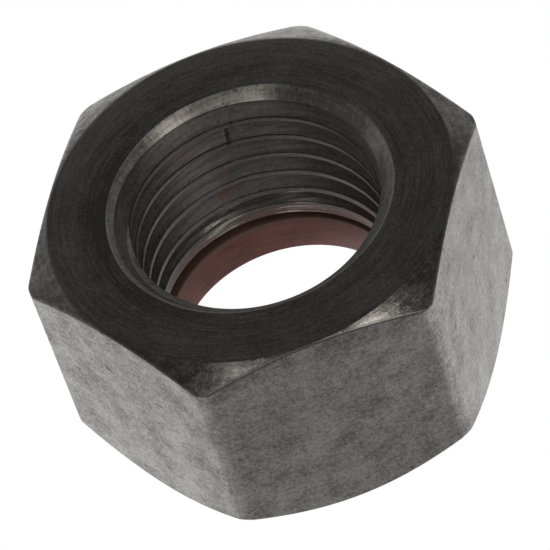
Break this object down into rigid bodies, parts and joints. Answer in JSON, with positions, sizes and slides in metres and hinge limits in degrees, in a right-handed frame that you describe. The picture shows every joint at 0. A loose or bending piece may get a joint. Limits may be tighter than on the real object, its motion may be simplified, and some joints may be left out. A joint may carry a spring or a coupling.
{
  "type": "hex lock nut",
  "caption": "Hexagonal steel nut with a fine right-hand thread, a turned bearing face and a plastic locking ring crimped into the far end.",
  "frame": {"origin": "centre of the underside, which is the crimped end the nut stands on", "axes": "+Z along the thread axis towards the bearing face, +X towards a corner of the hexagon, two flats facing -Y and +Y"},
  "size_m": [0.0336, 0.0296, 0.0188],
  "materials": {
    "darkened_steel": "darkened steel, turned on the bearing face and matt on the wrench flats",
    "red_ring": "dull brick red"
  },
  "bodies": {
    "root": {"nut_body": "darkened_steel", "locking_ring": "red_ring"}
  },
  "joints": []
}
